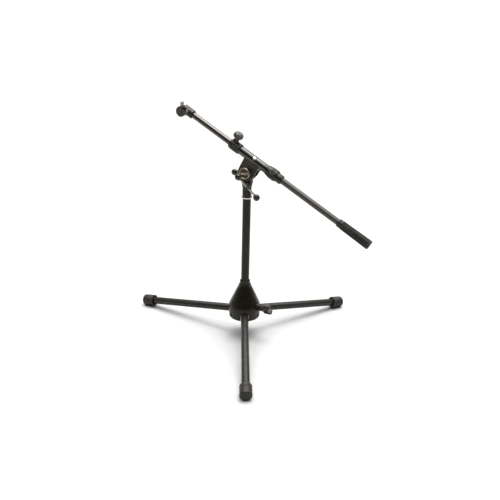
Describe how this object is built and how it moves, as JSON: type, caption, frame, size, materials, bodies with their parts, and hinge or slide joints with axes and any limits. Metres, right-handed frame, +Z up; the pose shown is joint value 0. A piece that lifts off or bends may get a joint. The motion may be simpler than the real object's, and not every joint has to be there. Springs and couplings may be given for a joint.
{
  "type": "boom microphone stand",
  "caption": "Low tripod stand with folding legs, a short upright, a swivelling tilt head and a sliding boom rod that ends in a threaded stud for a microphone holder.",
  "frame": {"origin": "on the floor, under the axis of the upright tube", "axes": "+Z up along the upright; the front leg points towards -Y; the boom's grip end points between +X and -Y"},
  "size_m": [0.5539, 0.4805, 0.571],
  "materials": {
    "upright_paint": "satin brown-black paint",
    "leg_paint": "satin dark grey paint",
    "gloss_chrome_black": "gloss black",
    "cast_black": "satin black on die-cast metal",
    "clamp_plastic": "satin black",
    "knob_plastic": "satin dark grey",
    "ball_plastic": "gloss black",
    "rubber_black": "matt",
    "grip_rubber": "matt ribbed",
    "zinc_bright": "bright zinc",
    "nickel_worn": "worn nickel",
    "dark_steel": "black oxide",
    "bare_steel": "plain steel",
    "inner_plastic": "moulded black",
    "friction_fibre": "fibre"
  },
  "bodies": {
    "stand": {"upright_tube": "upright_paint", "tube_bottom_plug": "inner_plastic", "swivel_spigot": "bare_steel", "lock_ring": "zinc_bright", "leg_hub": "cast_black", "leg_hinge_pins": "dark_steel", "hub_bolt": "dark_steel"},
    "front_leg": {"front_leg_tube": "leg_paint", "front_leg_root": "bare_steel", "front_rubber_foot": "rubber_black"},
    "right_leg": {"right_leg_tube": "leg_paint", "right_leg_root": "bare_steel", "right_rubber_foot": "rubber_black"},
    "left_leg": {"left_leg_tube": "leg_paint", "left_leg_root": "bare_steel", "left_rubber_foot": "rubber_black"},
    "bell": {"bell_housing": "cast_black", "leg_stop_ring": "bare_steel", "skirt_screws": "dark_steel"},
    "bell_knob": {"bell_clamp_screw": "dark_steel", "bell_wing_knob": "knob_plastic"},
    "head": {"swivel_head": "cast_black", "thrust_washer": "inner_plastic"},
    "swivel_screw": {"swivel_clamp_screw": "dark_steel"},
    "swivel_bar": {"swivel_clamp_bar": "dark_steel", "swivel_clamp_balls": "ball_plastic"},
    "boom_carrier": {"boom_bracket": "cast_black", "friction_washers": "friction_fibre", "pivot_nut": "nickel_worn", "tilt_washer": "zinc_bright", "boom_outer_tube": "gloss_chrome_black", "boom_tube_liner": "inner_plastic", "liner_rivet": "zinc_bright", "front_clamp": "clamp_plastic", "rear_collet": "clamp_plastic"},
    "tilt_screw": {"tilt_clamp_screw": "dark_steel"},
    "tilt_bar": {"tilt_clamp_bar": "dark_steel", "tilt_clamp_balls": "ball_plastic"},
    "front_knob": {"front_clamp_screw": "dark_steel", "front_clamp_knob": "knob_plastic"},
    "rear_nut": {"rear_twist_nut": "clamp_plastic"},
    "rod": {"boom_rod": "gloss_chrome_black", "rod_end_plug": "inner_plastic", "grip": "grip_rubber", "tip_clamp": "clamp_plastic", "tip_screw": "dark_steel", "knuckle_bolt": "dark_steel"},
    "mic_mount": {"mic_knuckle": "bare_steel", "mic_stud": "bare_steel"}
  },
  "joints": [
    {"name": "front_leg_fold", "type": "hinge", "parent": "stand", "child": "front_leg", "pos_m": [0, -0.021, 0.0638], "axis": [1, 0, 0], "range_deg": [0, 75]},
    {"name": "right_leg_fold", "type": "hinge", "parent": "stand", "child": "right_leg", "pos_m": [0.01819, 0.0105, 0.0638], "axis": [-0.5, 0.866, 0], "range_deg": [0, 75]},
    {"name": "left_leg_fold", "type": "hinge", "parent": "stand", "child": "left_leg", "pos_m": [-0.01819, 0.0105, 0.0638], "axis": [-0.5, -0.866, 0], "range_deg": [0, 75]},
    {"name": "bell_slide", "type": "slide", "parent": "stand", "child": "bell", "axis": [0, 0, 1], "range_m": [0, 0.12]},
    {"name": "bell_knob_turn", "type": "hinge", "parent": "bell", "child": "bell_knob", "pos_m": [0.0433, -0.025, 0.0821], "axis": [0.866, -0.5, 0], "range_deg": [0, 330]},
    {"name": "head_swivel", "type": "hinge", "parent": "stand", "child": "head", "pos_m": [0, 0, 0.39], "axis": [0, 0, 1], "continuous": true},
    {"name": "swivel_screw_turn", "type": "hinge", "parent": "head", "child": "swivel_screw", "pos_m": [0, -0.02, 0.3984], "axis": [0, -1, 0], "range_deg": [-180, 180]},
    {"name": "swivel_bar_slide", "type": "slide", "parent": "swivel_screw", "child": "swivel_bar", "axis": [0.6626, 0, -0.749], "range_m": [-0.018, 0.018]},
    {"name": "boom_tilt", "type": "hinge", "parent": "head", "child": "boom_carrier", "pos_m": [0, 0, 0.4259], "axis": [0.5, 0.866, 0], "range_deg": [-60, 35]},
    {"name": "tilt_screw_turn", "type": "hinge", "parent": "head", "child": "tilt_screw", "pos_m": [0, 0, 0.4259], "axis": [0.5, 0.866, 0], "range_deg": [-180, 180]},
    {"name": "tilt_bar_slide", "type": "slide", "parent": "tilt_screw", "child": "tilt_bar", "axis": [-0.8324, 0.4806, -0.2761], "range_m": [-0.0364, 0]},
    {"name": "front_knob_turn", "type": "hinge", "parent": "boom_carrier", "child": "front_knob", "pos_m": [-0.02509, 0.01449, 0.50236], "axis": [0.3928, -0.2268, 0.8912], "range_deg": [-180, 180]},
    {"name": "rear_nut_turn", "type": "hinge", "parent": "boom_carrier", "child": "rear_nut", "pos_m": [0.05667, -0.03272, 0.43322], "axis": [0.7718, -0.4456, -0.4535], "range_deg": [0, 180]},
    {"name": "rod_slide", "type": "slide", "parent": "boom_carrier", "child": "rod", "axis": [0.7718, -0.4456, -0.4535], "range_m": [-0.155, 0.095]},
    {"name": "mic_tilt", "type": "hinge", "parent": "rod", "child": "mic_mount", "pos_m": [-0.15673, 0.09049, 0.54851], "axis": [0.5, 0.866, 0], "range_deg": [-90, 5]}
  ]
}
